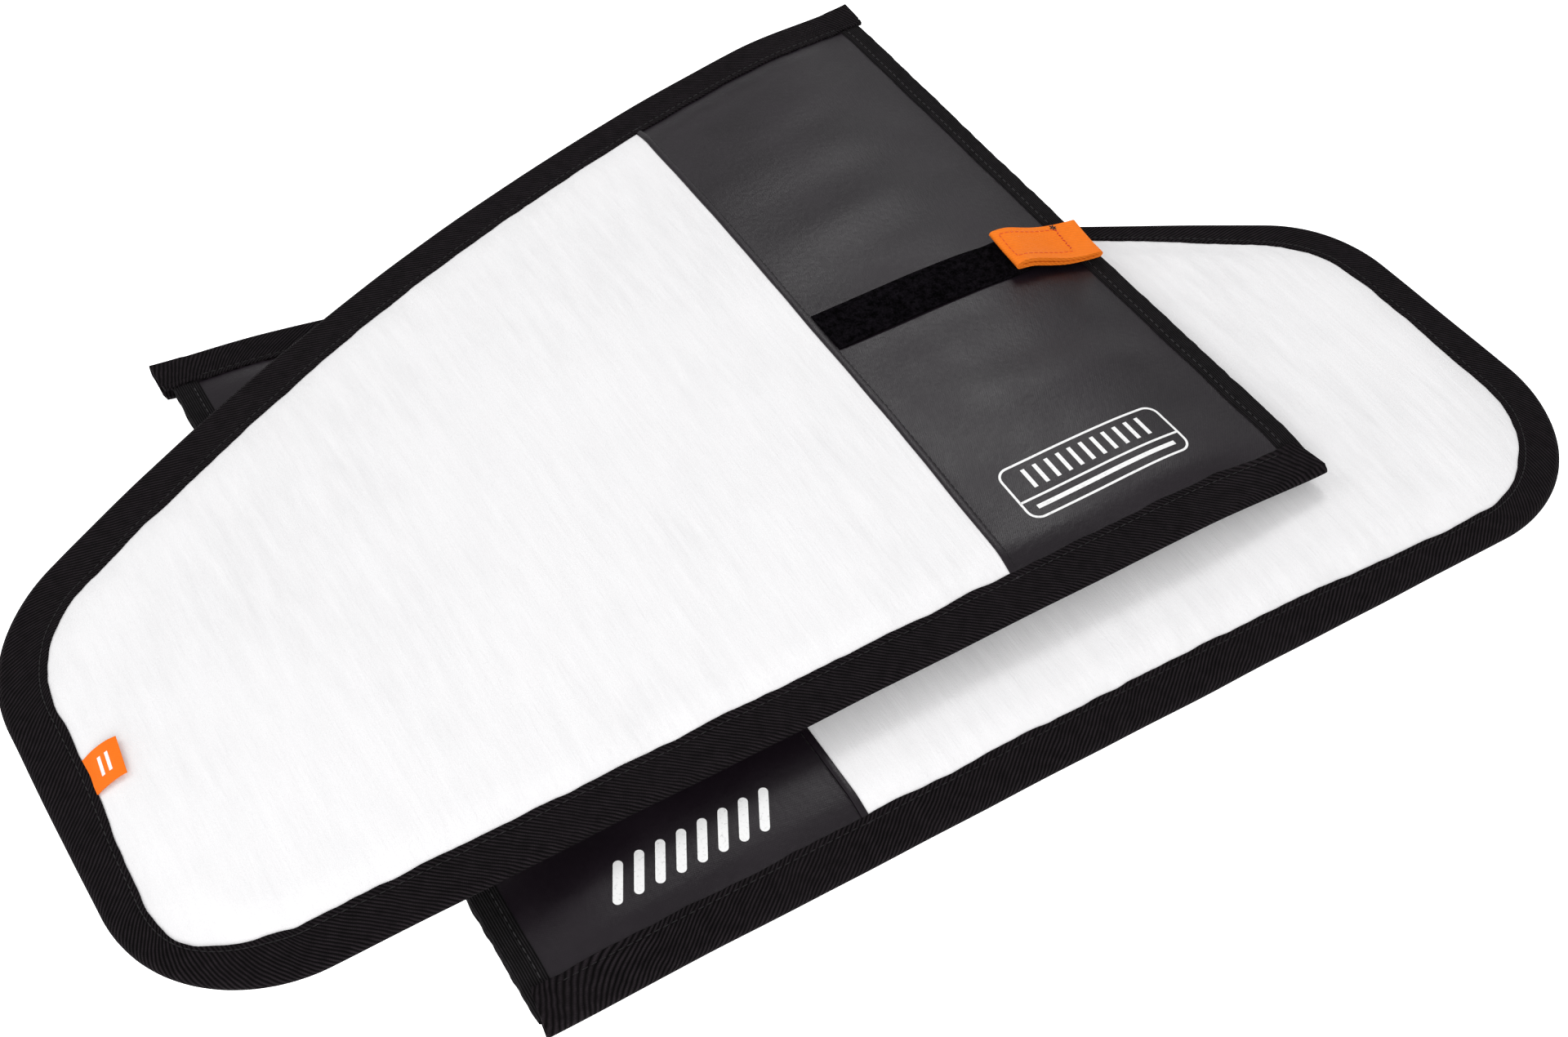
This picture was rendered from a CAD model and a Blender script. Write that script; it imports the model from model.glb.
"""Pair of padded pocket covers for a hydrofoil's front wing, laid one on the other.

An add-on style script: sizes and finishes are property groups, every kind of piece has its
operator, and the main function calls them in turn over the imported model's frame.
"""
import math
from types import SimpleNamespace

import bmesh
import bpy
import numpy as np
from bpy.props import FloatProperty, FloatVectorProperty, PointerProperty
from mathutils import Matrix, Vector, noise


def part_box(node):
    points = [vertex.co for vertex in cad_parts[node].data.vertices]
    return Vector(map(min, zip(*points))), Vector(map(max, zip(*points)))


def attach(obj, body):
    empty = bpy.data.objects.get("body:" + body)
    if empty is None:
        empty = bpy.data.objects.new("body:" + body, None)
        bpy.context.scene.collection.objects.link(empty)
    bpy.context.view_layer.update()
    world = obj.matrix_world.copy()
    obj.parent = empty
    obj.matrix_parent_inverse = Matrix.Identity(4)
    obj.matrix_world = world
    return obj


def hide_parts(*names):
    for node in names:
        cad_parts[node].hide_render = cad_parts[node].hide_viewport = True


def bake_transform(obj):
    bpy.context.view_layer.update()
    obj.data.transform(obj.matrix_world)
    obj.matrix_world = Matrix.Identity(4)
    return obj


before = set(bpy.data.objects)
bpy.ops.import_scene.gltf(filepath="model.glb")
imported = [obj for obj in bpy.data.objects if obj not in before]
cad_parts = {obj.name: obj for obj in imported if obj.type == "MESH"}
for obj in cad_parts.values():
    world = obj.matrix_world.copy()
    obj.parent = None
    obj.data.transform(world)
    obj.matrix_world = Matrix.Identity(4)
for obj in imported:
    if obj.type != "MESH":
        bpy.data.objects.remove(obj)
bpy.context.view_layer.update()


bl_info = {
    "name": "Foil wing covers",
    "version": (1, 0, 0),
    "blender": (4, 5, 0),
    "location": "View3D > Sidebar > Covers",
    "description": "Builds a stacked pair of padded pocket covers with bound edges, strap and label",
    "category": "Add Mesh",
}

MM = 0.001
TAU = 2 * math.pi
SIDES = (("front", 1), ("back", -1))      # a face's name, and the way out of it
HAIR = 0.03 * MM                          # air between a tape and what it lies on
LEAD_SPOT = 0.79                          # where the leading edge is drawn in, of the tip's distance
BACK_DEPTH = 0.25                         # how uneven a back face is against a front one
SEAM_SHIFT = 0.6                          # share of the seam fold that lies on the root's side
HEM_GROOVE = 0.71                         # where a hem's stitches lie across it
TAB_FOLD = 0.035                          # length of a rounded end of the pull tab, of its whole
made = {}                                 # what several operators share: the covers and the materials


def size(millimetres, text):
    """A length that the user may change, given in millimetres and kept in metres."""
    return FloatProperty(description=text, default=millimetres * MM, unit="LENGTH", precision=5)


def angle(degrees, text):
    return FloatProperty(description=text, default=math.radians(degrees), unit="ROTATION")


def number(value, text):
    return FloatProperty(description=text, default=value)


def colour(value, text):
    return FloatVectorProperty(description=text, default=value, subtype="COLOR", min=0, max=1)


# Each pattern size: its value on the upper cover, its value on the lower one, and its meaning
PATTERN = {
    "root_chord": (323.6, 329.2, "Width at the open root"),
    "tip_foot": (434.3, 441.9, "Where tip and trailing edge would meet, unrounded"),
    "tip_rake": (-3.3, 5.7, "How far the tip leans back up to its shoulder"),
    "shoulder_y": (168.4, 159.4, "Where tip and leading edge would meet"),
    "lead_bow": (28, 28.5, "How far the leading edge stands out from its chord"),
    "foot_radius": (52, 60.5, "Rounding of the tip's lower corner"),
    "shoulder_radius": (68, 54, "Rounding of the tip's shoulder"),
    "foot_overrun": (0.5, 0.2, "Binding past the root at the trailing edge"),
    "head_overrun": (3, 4, "Binding past the root at the leading edge"),
    "move_x": (-0.4, 0.3, "Lies off its drawn place, along"),
    "move_y": (0.1, -1.5, "Lies off its drawn place, across"),
    "twist": (-0.13, 0.53, "Lies turned from its drawn place"),
    "droop": (4.2, 1.0, "How far the open root hangs down"),
    "droop_run": (58, 40, "Where the droop begins, from the root"),
    "trail_tuck": (0, 3.6, "Binding's narrowing along the trailing edge near the tip"),
    "foot_tuck": (5.3, 0, "Binding's narrowing round the foot"),
    "tip_spot": (66, 108, "Height of the narrowing at the tip"),
    "tip_tuck": (2.5, 1.3, "Binding's narrowing at the tip"),
    "lead_tuck": (-1.2, 6.4, "Binding's narrowing along the leading edge"),
    "lead_drop": (0, 2.4, "How far the leading edge hangs beside the shoulder"),
    "seam_foot": (126, 121.5, "Seam's distance from the root at the trailing edge"),
    "seam_head": (119, 116, "Seam's distance from the root at the leading edge's height"),
}


def pattern_fields(column):
    return {key: (angle if key == "twist" else size)(row[column], row[2]) for key, row in PATTERN.items()}


class UpperPattern(bpy.types.PropertyGroup):
    """The upper cover as it lies: x from its open root to the tip, y to the leading edge."""
    __annotations__ = pattern_fields(0)


class LowerPattern(bpy.types.PropertyGroup):
    """The lower cover as it lies, pressed out of shape a little by the upper one."""
    __annotations__ = pattern_fields(1)


class PaddingSizes(bpy.types.PropertyGroup):
    """How far the padded faces stand off a cover's middle."""
    middle: size(8.5, "Height of the sewn edge above the cover's underside")
    sewn_rise: size(1.2, "Face above the middle where it is sewn flat")
    foam_rise: size(3.1, "Quick rise beside the binding, where the foam is free")
    crown_rise: size(3.1, "Slow rise towards the middle of the cover")
    sewn_w: size(11, "Width of the margin that is sewn flat")
    foam_run: size(15, "Length of the quick rise")
    crown_run: size(85, "Length of the slow rise")
    root_sag: size(1.6, "How far the open root droops between its corners")
    foam_t: size(3.0, "Thickness of the padding")
    cloth_t: size(0.6, "Thickness of a face cloth")
    lining_t: size(0.2, "Thickness of the lining")
    gap: size(0.05, "Air between cloth, foam and lining")
    thin: size(0.15, "Foam where it is sewn flat")
    tallest: size(8.1, "Limit of a face above the middle")
    crease: size(2.75, "Depth of the creases that fan out from the open root")
    ripple: size(0.75, "Depth of the puckers beside the binding")
    billow: size(0.5, "Depth of the broad unevenness")
    grain: size(4, "Spacing of the faces' mesh")


class TrimSizes(bpy.types.PropertyGroup):
    """Tapes, strap, pull tab, label and printed marks."""
    panel_inset: size(1.1, "Binding fold to cloth edge")
    binding_w: size(16.2, "How far the edge binding reaches over each face")
    tape_t: size(0.85, "Binding and hem tape")
    hem_w: size(9, "How far a root hem reaches over its face")
    fold_w: size(2.8, "Width of the folded edge at the panel seam")
    loop_w: size(20, "Width of the loop tape")
    loop_t: size(1.2, "Tape with its pile")
    loop_y: size(143.5, "Height of its middle above the trailing edge")
    fold_x: size(45, "Where the stitched tape turns into the free strap")
    hook_l: size(24, "Along the strap")
    tab_l: size(38, "Along the strap")
    tab_w: size(20.8, "Across the strap")
    tab_t: size(1.25, "One layer of the pull tab's webbing")
    tab_start: size(5.5, "From the strap's fold")
    label_w: size(15.5, "Along the binding")
    label_l: size(13.0, "Out from the binding")
    label_y: size(99, "Height of its middle above the trailing edge")
    badge_l: size(70, "Along the trailing edge")
    badge_w: size(25, "Across")
    badge_r: size(5, "Corner radius")
    badge_x: size(72.5, "Middle, from the root")
    badge_y: size(42, "Middle, above the trailing edge")
    badge_rule: size(9, "Dividing line above the badge's trailing side")
    line_w: size(0.9, "Width of the badge's lines")
    ink_t: size(0.12, "Thickness of a printed mark")
    stripe_x: size(67.5, "Middle of the stripe row, from the root")
    stripe_y: size(33.5, "Middle of the stripe row, above the trailing edge")
    stripe_l: size(16, "Length of a slanted stripe")
    stripe_w: size(3.2, "Width of a slanted stripe")
    stripe_pitch: size(7.5, "Spacing of the stripes")
    stripe_lean: angle(62, "Slant from the trailing edge")


class StackSizes(bpy.types.PropertyGroup):
    """How the upper cover, the lower one's mirror image, lies on it."""
    drawn_overrun: size(3, "Binding past the root in the packed model")
    shift_x: size(335, "Upper root from the lower root")
    shift_y: size(51, "Upper trailing edge from the lower one")
    turn: angle(1.2, "Askew to the lower cover")


class Finishes(bpy.types.PropertyGroup):
    """Colours of the cloths, tapes and prints."""
    white_cloth: colour((0.885, 0.878, 0.888), "Brushed face cloth")
    tarpaulin: colour((0.0095, 0.0062, 0.0095), "Coated root panel")
    binding: colour((0.0027, 0.0021, 0.0025), "Edge tape")
    hem: colour((0.0045, 0.0040, 0.0044), "Root hem tape")
    loop_pile: colour((0.0021, 0.0017, 0.0023), "Loop tape")
    hook: colour((0.010, 0.010, 0.010), "Moulded hooks")
    foam: colour((0.26, 0.26, 0.28), "Closed-cell padding")
    lining: colour((0.055, 0.055, 0.06), "Inside of the pocket")
    webbing: colour((1.0, 0.205, 0.013), "Pull tab")
    satin: colour((1.0, 0.180, 0.009), "Label")
    ink: colour((0.90, 0.90, 0.90), "Printed marks")
    red_thread: colour((0.50, 0.020, 0.008), "Cross line of the tab")
    black_thread: colour((0.006, 0.005, 0.006), "Binding and bar tack")
    grey_thread: colour((0.022, 0.020, 0.022), "Worn stitches of the hems")


class Studio(bpy.types.PropertyGroup):
    """Camera and light."""
    lens: number(50.03, "Focal length in mm on a 36 mm wide sensor")
    distance: size(781.4, "Camera to its aim")
    azimuth: angle(-30.29, "Round the object")
    elevation: angle(48.75, "Above the floor")
    aim_x: size(164.0, "From the lower cover's root")
    aim_y: size(140.6, "From its trailing edge")
    aim_z: size(6.9, "Above the floor")
    sky: number(0.53, "Strength of the even white surround")


GROUPS = {"upper": UpperPattern, "lower": LowerPattern, "pad": PaddingSizes, "trim": TrimSizes,
          "stack": StackSizes, "finish": Finishes, "studio": Studio}


def settings():
    """The scene's property groups, by short name."""
    return SimpleNamespace(**{name: getattr(bpy.context.scene, "covers_" + name) for name in GROUPS})


# ---------------------------------------------------------------- the covers' shape


def smooth(t):
    """Soft step from 0 to 1."""
    t = np.clip(t, 0.0, 1.0)
    return t * t * (3 - 2 * t)


def mist(x, y, pitch, seed, stretch=1.0):
    """Smooth noise of the given pitch at many points, from -1 to 1."""
    xs, ys = np.ravel(np.asarray(x) / pitch), np.ravel(np.asarray(y) / (pitch * stretch))
    return np.array([noise.noise((a, b, seed)) for a, b in zip(xs, ys)]).reshape(np.shape(x))


def drift(values, pitch, row, seed):
    """Smooth noise along a line, from -1 to 1."""
    return np.array([noise.noise((v / pitch, row, seed)) for v in values])


def bell(distance, reach):
    """1 at no distance, falling off smoothly over the reach."""
    return np.exp(-(distance / reach) ** 2)


def fade(distance, reach):
    return np.exp(-np.clip(distance, 0, 1) / reach)


class Outline:
    """The three closed sides of a cover as an even line of points, from root to root."""

    def __init__(self, pattern, step=2.5 * MM):
        foot = Vector((pattern.tip_foot, 0, 0))
        shoulder = Vector((pattern.tip_foot - pattern.tip_rake, pattern.shoulder_y, 0))
        head = Vector((0, pattern.root_chord, 0))
        # Leading edge's circle, from its chord and bow
        chord, bow = head - shoulder, pattern.lead_bow
        outward = Vector((-chord.y, chord.x, 0)).normalized() * -1
        radius = (chord.length_squared / 4 + bow * bow) / (2 * bow)
        centre = (head + shoulder) / 2 - outward * (radius - bow)
        # Foot's rounding, between two straight lines
        tip = (shoulder - foot).normalized()
        half = (math.pi - Vector((1, 0, 0)).angle(tip)) / 2
        reach = pattern.foot_radius / math.tan(half)
        foot_centre = Vector((foot.x - reach, pattern.foot_radius, 0))
        # Shoulder's rounding, between the tip's line and the leading circle
        inward = Vector((-tip.y, tip.x, 0))
        base = foot + inward * pattern.shoulder_radius - centre
        along = base.dot(tip)
        room = (radius - pattern.shoulder_radius) ** 2 - base.length_squared + along ** 2
        shoulder_centre = centre + base + tip * (math.sqrt(room) - along)
        shoulder_end = centre + (shoulder_centre - centre).normalized() * radius

        wire = bmesh.new()
        first = last = wire.verts.new((-pattern.foot_overrun, 0, 0))

        def run_to(goal):
            nonlocal last
            steps = max(1, round((goal - last.co).length / step))
            move = (goal - last.co) / steps
            for _ in range(steps):
                last = bmesh.ops.extrude_vert_indiv(wire, verts=[last])["verts"][0]
                bmesh.ops.translate(wire, verts=[last], vec=move)

        def turn_to(goal, about):
            nonlocal last
            sweep = (last.co - about).angle(goal - about)
            arc = bmesh.ops.spin(wire, geom=[last], cent=about, axis=(0, 0, 1), angle=sweep,
                                 steps=max(2, round(sweep * (goal - about).length / step)))
            last = next(v for v in arc["geom_last"] if isinstance(v, bmesh.types.BMVert))

        run_to(Vector((foot.x - reach, 0, 0)))
        turn_to(foot + tip * reach, foot_centre)
        run_to(shoulder_centre - inward * pattern.shoulder_radius)
        turn_to(shoulder_end, shoulder_centre)
        turn_to(head, centre)
        leave = Vector((-(head - centre).y, (head - centre).x, 0)).normalized()
        run_to(head + leave * (pattern.head_overrun / -leave.x))

        points, edge, vertex = [first.co.copy()], first.link_edges[0], first
        while True:
            vertex = edge.other_vert(vertex)
            points.append(vertex.co.copy())
            others = [e for e in vertex.link_edges if e is not edge]
            if not others:
                break
            edge = others[0]
        wire.free()
        self.points = np.array([p[:2] for p in points])
        steps = np.linalg.norm(np.diff(self.points, axis=0), axis=1)
        self.runs = np.concatenate([[0], np.cumsum(steps)])
        heading = np.gradient(self.points, axis=0)
        heading /= np.linalg.norm(heading, axis=1)[:, None]
        self.inward = np.stack([-heading[:, 1], heading[:, 0]], axis=1)

    def nearest(self, x, y):
        """Distance to the closed sides, and how far along them the nearest place is."""
        q = np.stack([np.ravel(x), np.ravel(y)], axis=1)
        a, d = self.points[:-1], np.diff(self.points, axis=0)
        long2 = (d ** 2).sum(1)
        close = np.concatenate([((part[:, None] - self.points[None]) ** 2).sum(2).argmin(1)
                                for part in np.array_split(q, len(q) // 4000 + 1)])
        best, where = np.full(len(q), 9.0), np.zeros(len(q))
        for k in (np.maximum(close - 1, 0), np.minimum(close, len(a) - 1)):
            rel = q - a[k]
            t = np.clip((rel * d[k]).sum(1) / long2[k], 0, 1)
            away = np.linalg.norm(rel - t[:, None] * d[k], axis=1)
            closer = away < best
            best[closer] = away[closer]
            where[closer] = (self.runs[k] + t * np.sqrt(long2[k]))[closer]
        return best.reshape(np.shape(x)), where.reshape(np.shape(x))

    def at(self, run):
        """Points and inward directions at distances along the line."""
        def line(values):
            return np.stack([np.interp(run, self.runs, values[:, k]) for k in (0, 1)], axis=-1)
        inward = line(self.inward)
        return line(self.points), inward / np.linalg.norm(inward, axis=-1, keepdims=True)

class Cover:
    """One cover: its outline, its faces' heights, and the way it is laid down."""

    def __init__(self, name, given, place, seed):
        self.name, self.body, self.seed = name, name + "_cover", seed
        self.pattern, self.pad, self.trim = getattr(given, name), given.pad, given.trim
        p = self.pattern
        self.outline = Outline(p)
        self.place = place @ Matrix.Translation((p.move_x, p.move_y, 0)) @ Matrix.Rotation(p.twist, 4, "Z")
        sides = self.outline.points
        turn = sides[:, 0].argmax()
        self.lead_x, self.lead_y = sides[turn:, 0][::-1], sides[turn:, 1][::-1]
        # Where the binding is drawn in: beside the tip's corners and along the leading edge
        shoulder = LEAD_SPOT * p.tip_foot
        spots = ((p.tip_foot - 72 * MM, 0, 60 * MM, p.trail_tuck), (p.tip_foot, 22 * MM, 24 * MM, p.foot_tuck),
                 (p.tip_foot, p.tip_spot, 24 * MM, p.tip_tuck),
                 (shoulder, self.head_y(shoulder), 75 * MM, p.lead_tuck))
        self.tucks = [(self.outline.nearest(x, y)[1], reach, depth) for x, y, reach, depth in spots]

    def seam_x(self, y):
        p = self.pattern
        return p.seam_foot + (p.seam_head - p.seam_foot) * y / p.root_chord

    def head_y(self, x):
        """Height of the leading edge above the trailing edge."""
        return np.interp(x, self.lead_x, self.lead_y)

    def tuck(self, run):
        """Narrowing of the binding at distances along the outline."""
        return sum(depth * bell(run - middle, reach) for middle, reach, depth in self.tucks)

    def rise(self, x, y, away, run, out):
        """Outer side of a face above the cover's middle; a back face is quieter than a front one."""
        pad = self.pad
        side, depth = (self.seed, 1.0) if out > 0 else (self.seed + 40, BACK_DEPTH)
        sewn = away - pad.sewn_w
        quick, root_quick = smooth(sewn / pad.foam_run), smooth((x - 4 * MM) / (30 * MM))
        crown = smooth(sewn / pad.crown_run) * smooth((x - 6 * MM) / (80 * MM))
        height = pad.sewn_rise + pad.foam_rise * quick * (0.42 + 0.58 * root_quick) + pad.crown_rise * crown
        billow = mist(x, y, 60 * MM, side) + 0.5 * mist(x, y, 26 * MM, side + 3)
        pucker = mist(run, away, 15 * MM, side + 7, 3.0) * fade(away - 14 * MM, 20 * MM)
        pucker = pucker * smooth((away - 10 * MM) / (6 * MM))
        on_root = smooth((self.seam_x(y) - x) / (4 * MM))
        fan = y + (y - 0.5 * self.pattern.root_chord) * 2.2 * x
        crease = mist(fan, x, 24 * MM, side + 11, 3.0) * fade(x, 75 * MM)
        height = height + depth * quick * pad.billow * 0.5 * billow * (1 - 0.3 * on_root)
        height = height + depth * pad.ripple * pucker * (1 - 0.6 * on_root)
        height = height + depth * pad.crease * quick * root_quick * on_root * crease
        return np.minimum(height, pad.tallest)

    def top(self, x, y, away=None, run=None, out=1):
        """Height of a face's outer side in the cover's own coordinates."""
        if away is None:
            away, run = self.outline.nearest(x, y)
        p, (middle, reach, _) = self.pattern, self.tucks[3]
        sag = self.pad.root_sag * np.sin(np.pi * np.clip(y / p.root_chord, 0, 1)) * fade(x, 30 * MM)
        sag = sag + p.droop * (1 - smooth(x / p.droop_run))
        sag = sag + p.lead_drop * bell(run - middle, reach) * (1 - smooth(away / (45 * MM)))
        return self.pad.middle - sag + out * self.rise(x, y, away, run, out)

    def lay(self, bm):
        """Carry a bmesh from the cover's own coordinates to its place."""
        bmesh.ops.transform(bm, matrix=self.place, verts=bm.verts)
        bmesh.ops.recalc_face_normals(bm, faces=bm.faces)

    def carried(self, point):
        return self.place @ Vector(point)


def build_covers(given):
    """Both covers, the upper one turned over and a little askew on the lower."""
    stack = given.stack
    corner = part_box("lower_edge_binding")[0]
    made["origin"] = origin = corner + Vector((stack.drawn_overrun, 0, 0))
    c, s = math.cos(stack.turn), math.sin(stack.turn)
    mirrored = Matrix(((-c, -s, 0, stack.shift_x), (-s, c, 0, stack.shift_y), (0, 0, 1, 0), (0, 0, 0, 1)))
    step_up = Vector((0, 0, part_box("upper_edge_binding")[0].z - corner.z))
    made["lower"] = Cover("lower", given, Matrix.Translation(origin), 1.7)
    made["upper"] = Cover("upper", given, Matrix.Translation(origin + step_up) @ mirrored, 5.3)


def both_covers():
    return made["lower"], made["upper"]


# ---------------------------------------------------------------- mesh helpers

def piece(bm, name, body, material, replaces=(), crease=38):
    """Turn a finished bmesh into an object that rides on a body."""
    for face in bm.faces:
        face.smooth = True
    for edge in bm.edges:
        if len(edge.link_faces) == 2 and edge.calc_face_angle(0) > math.radians(crease):
            edge.smooth = False
    mesh = bpy.data.meshes.new(name)
    bm.to_mesh(mesh)
    bm.free()
    mesh.materials.append(made["materials"][material])
    made_object = bpy.data.objects.new(name, mesh)
    bpy.context.scene.collection.objects.link(made_object)
    if body:
        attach(made_object, body)
    if replaces:
        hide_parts(*replaces)
    return made_object


def swept(points, uv, caps=True):
    """A grid of stations by section points, moved to the given places and closed round."""
    along, around = points.shape[0] - 1, points.shape[1] - 1
    bm = bmesh.new()
    layer = bm.loops.layers.uv.new("UVMap")
    bmesh.ops.create_grid(bm, x_segments=along, y_segments=around, size=1.0)
    flat = np.array([v.co[:2] for v in bm.verts])
    low, high = flat.min(0), flat.max(0)
    index = np.rint((flat - low) / (high - low) * (along, around)).astype(int)
    rows = {}
    for vertex, (i, j) in zip(bm.verts, index):
        vertex.co = points[i, j]
        rows.setdefault(i, {})[j] = vertex
    bm.verts.index_update()
    for face in bm.faces:
        for loop in face.loops:
            loop[layer].uv = uv[tuple(index[loop.vert.index])]
    bmesh.ops.weld_verts(bm, targetmap={row[around]: row[0] for row in rows.values()})
    if caps:
        bmesh.ops.holes_fill(bm, edges=[e for e in bm.edges if e.is_boundary], sides=0)
    bmesh.ops.recalc_face_normals(bm, faces=bm.faces)
    return bm


def section_run(points):
    """Distance round a section, used as a texture coordinate."""
    steps = np.linalg.norm(np.diff(points, axis=1), axis=2)
    return np.concatenate([np.zeros((len(points), 1)), np.cumsum(steps, axis=1)], axis=1)


def section_uv(points, stations):
    return np.stack([np.repeat(stations[:, None], points.shape[1], axis=1), section_run(points)], axis=2)


def loft(cover, section, stations, name, body, finish, replaces=(), slot=True, crease=38):
    """A piece of a cover whose closed section is a list of lines along the stations."""
    points = np.stack(section + section[:1], axis=1)
    bm = swept(points, section_uv(points, stations))
    cover.lay(bm)
    return piece(bm, name, body, finish, replaces, crease)


def sliced(bm, place, normal, **options):
    """Cut everything in a bmesh along a plane."""
    bmesh.ops.bisect_plane(bm, geom=bm.verts[:] + bm.edges[:] + bm.faces[:], plane_co=place, plane_no=normal,
                           **options)


def gridded(bm, starts, ends, spacing, near):
    """Cut a flat sheet into an even mesh."""
    for axis in (0, 1):
        normal = Vector((1 - axis, axis, 0))
        for place in np.arange(starts[axis], ends[axis], spacing):
            sliced(bm, normal * place, normal, dist=near)


def blank(cover, spacing):
    """A cover's face as one flat sheet, cut into an even mesh."""
    p, inset = cover.pattern, cover.trim.panel_inset
    bm = bmesh.new()
    rim = cover.outline.points + cover.outline.inward * inset
    bmesh.ops.contextual_create(bm, geom=[bm.verts.new((x, y, 0)) for x, y in rim])
    sliced(bm, (inset, 0, 0), (-1, 0, 0), clear_outer=True)
    gridded(bm, (spacing * 1.5,) * 2, (p.tip_foot, p.root_chord), spacing, 1e-5)
    return bm


def cut_at_seam(bm, cover, offset, keep_root):
    """Keep the root's or the tip's side of a line parallel to the seam."""
    p = cover.pattern
    line = Vector((p.seam_head - p.seam_foot, p.root_chord, 0)).normalized()
    normal = Vector((line.y, -line.x, 0)) * (1 if keep_root else -1)
    sliced(bm, (p.seam_foot + offset, 0, 0), normal, clear_outer=True)
    return bm


def flat_facts(bm):
    """Width, length and area of a flat sheet before it is shaped."""
    co = np.array([v.co[:2] for v in bm.verts])
    return tuple((co.max(0) - co.min(0))[::-1]), sum(f.calc_area() for f in bm.faces)


def faced(bm, cover, heights, name, finish, node):
    """Give a flat sheet an outer and an inner side at the given heights, and lay it as a piece."""
    inner = bm.verts[:]
    raised = bmesh.ops.extrude_face_region(bm, geom=bm.faces[:])["geom"]
    outer = [g for g in raised if isinstance(g, bmesh.types.BMVert)]
    for verts, which in ((inner, 1), (outer, 0)):
        x, y = np.array([v.co.x for v in verts]), np.array([v.co.y for v in verts])
        for vertex, z in zip(verts, heights(x, y)[which]):
            vertex.co.z = z
    cover.lay(bm)
    return piece(bm, name, cover.body, finish, (node,))


def stitches(places, length, thickness, name, body, material):
    """A row of short thread stitches, each at (place, direction)."""
    bm = bmesh.new()
    upright = Matrix.Rotation(math.pi / 2, 4, "Y")
    shape = Matrix.Diagonal((length / 2, thickness / 2, thickness * 0.42, 1)) @ upright
    for place, direction in places:
        turn = Vector(direction).normalized().to_track_quat("X", "Z").to_matrix().to_4x4()
        bmesh.ops.create_uvsphere(bm, u_segments=8, v_segments=4, radius=1,
                                  matrix=Matrix.Translation(place) @ turn @ shape)
    return piece(bm, name, body, material)


# ---------------------------------------------------------------- materials

class Signal:
    """A socket of a shader tree; arithmetic on it adds math nodes."""

    def __init__(self, net, socket):
        self.net, self.socket = net, socket

    def math(self, operation, other=0.0):
        return self.net.node("Math", {0: self, 1: other}, operation=operation)

    def __add__(self, other):
        return self.math("ADD", other)

    def __sub__(self, other):
        return self.math("SUBTRACT", other)

    def __mul__(self, other):
        return self.math("MULTIPLY", other)

    def __truediv__(self, other):
        return self.math("DIVIDE", other)

    def spread(self, low, high, out_low=0.0, out_high=1.0):
        return self.net.node("MapRange", {"Value": self, "From Min": low, "From Max": high, "To Min": out_low,
                                          "To Max": out_high})


class Net:
    """A shader tree with short ways to add nodes to it."""

    def __init__(self, tree):
        self.tree = tree

    def signals(self, node):
        return {socket.name: Signal(self, socket) for socket in node.outputs if socket.enabled}

    def feed(self, socket, value):
        if isinstance(value, Signal):
            self.tree.links.new(value.socket, socket)
        else:
            socket.default_value = value

    def node(self, kind, given, output=0, **choices):
        node = self.tree.nodes.new("ShaderNode" + kind)
        for name, value in choices.items():
            setattr(node, name, value)
        for name, value in given.items():
            self.feed(node.inputs[name], value)
        return self.signals(node) if output is None else Signal(self, node.outputs[output])

    def noise(self, scale, detail=2.0, roughness=0.5, vector=None):
        return self.node("TexNoise", {"Vector": vector or self.place, "Scale": scale, "Detail": detail,
                                      "Roughness": roughness})

    def stretched(self, scale, turn=0.0):
        return self.node("Mapping", {"Vector": self.place, "Scale": scale, "Rotation": (0, 0, turn)})

    def mix(self, amount, a, b):
        return self.node("Mix", {"Factor": amount, "A": a, "B": b}, "Result", data_type="RGBA")


class Group(Net):
    """A shared effect, fed with a vector and named numbers."""

    def __init__(self, name, numbers, results):
        super().__init__(bpy.data.node_groups.new(name, "ShaderNodeTree"))
        add = self.tree.interface.new_socket
        add("Vector", in_out="INPUT", socket_type="NodeSocketVector")
        for label, value in numbers.items():
            add(label, in_out="INPUT", socket_type="NodeSocketFloat").default_value = value
        for label in results:
            add(label, in_out="OUTPUT", socket_type="NodeSocketFloat")
        self.given = self.signals(self.tree.nodes.new("NodeGroupInput"))
        self.end = self.tree.nodes.new("NodeGroupOutput")
        self.place = self.given["Vector"]

    def give(self, *results):
        for number, result in enumerate(results):
            self.feed(self.end.inputs[number], result)


def ribbed_weave():
    """Slanted ribs crossed by fine yarns, as on a twill tape."""
    net = Group("Ribbed weave", {"Rib pitch": 1.4 * MM, "Yarn pitch": 0.6 * MM, "Lean": 0.7}, ("Height", "Shade"))
    parts = net.node("SeparateXYZ", {0: net.place}, None)
    u, v = parts["X"] + net.noise(90.0) * (1.6 * MM), parts["Y"]
    cosine, sine = net.given["Lean"].math("COSINE"), net.given["Lean"].math("SINE")
    turns = (u * cosine + v * sine) / net.given["Rib pitch"]
    rib = (turns * TAU).math("SINE") * 0.5 + 0.5
    yarns = (v * cosine - u * sine) / net.given["Yarn pitch"] * TAU + turns.math("FLOOR") * math.pi
    height = rib * ((yarns.math("SINE") * 0.5 + 0.5) * 0.4 + 0.6)
    net.give(height, height * net.noise(260.0, 3.0).spread(0.3, 0.7, 0.65, 1.25))


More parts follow.
